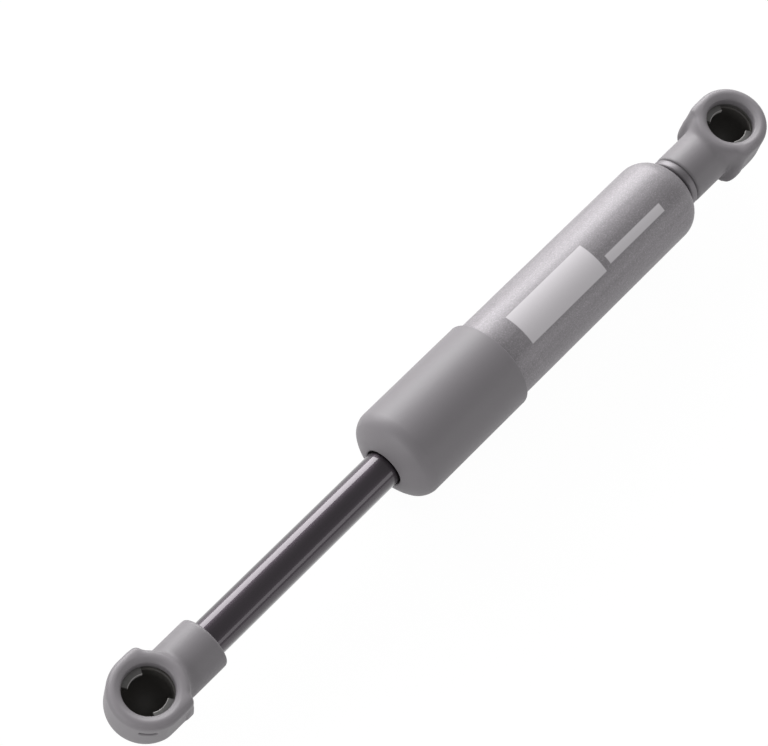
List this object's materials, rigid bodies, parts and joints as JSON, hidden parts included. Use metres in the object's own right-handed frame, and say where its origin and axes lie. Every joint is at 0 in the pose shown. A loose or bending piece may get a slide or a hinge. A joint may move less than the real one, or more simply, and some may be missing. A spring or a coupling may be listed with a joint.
{
  "type": "gas spring",
  "caption": "Short furniture gas spring: steel tube with a plastic cap, black piston rod, and a push-fit plastic ball socket at each end.",
  "frame": {"origin": "centre of the ball seat in the socket on the tube", "axes": "+X along the spring to the socket on the rod, +Z out of the sockets' mouths"},
  "size_m": [0.1962, 0.021, 0.021],
  "materials": {
    "tube_lacquer": "fine silver-grey lacquer with a satin sheen",
    "black_nitride": "polished black nitrided steel",
    "grey_plastic": "matt moulded grey plastic",
    "bare_steel": "turned or stamped zinc-plated steel",
    "spring_steel": "stamped spring steel",
    "black_rubber": "moulded black rubber",
    "amber_rubber": "amber polyurethane",
    "guide_plastic": "natural plastic",
    "white_plastic": "white low-friction plastic",
    "grey_felt": "pressed felt",
    "sintered_iron": "sintered iron"
  },
  "bodies": {
    "barrel": {"pressure_tube": "tube_lacquer", "end_stud": "bare_steel", "end_gasket": "black_rubber", "end_collar": "bare_steel", "tube_end_socket": "grey_plastic", "tube_end_clip": "spring_steel", "end_cap": "grey_plastic", "wiper_ring": "grey_felt", "guide_bush": "guide_plastic", "guide_o_ring": "black_rubber", "rod_seal": "black_rubber", "seal_washer": "bare_steel", "rebound_buffer": "amber_rubber"},
    "ring": {"piston_ring": "white_plastic"},
    "rod": {"piston": "sintered_iron", "valve_disc": "spring_steel", "piston_front_washer": "bare_steel", "piston_back_washer": "bare_steel", "piston_rod": "black_nitride", "rod_end_socket": "grey_plastic", "rod_end_clip": "spring_steel"}
  },
  "joints": [
    {"name": "rod_slide", "type": "slide", "parent": "barrel", "child": "ring", "axis": [-1, 0, 0], "range_m": [0, 0.045], "stiffness_N_per_m": 1000, "springref_m": -0.2},
    {"name": "rod_turn", "type": "hinge", "parent": "ring", "child": "rod", "pos_m": [0.083, 0, 0], "axis": [1, 0, 0], "continuous": true}
  ]
}
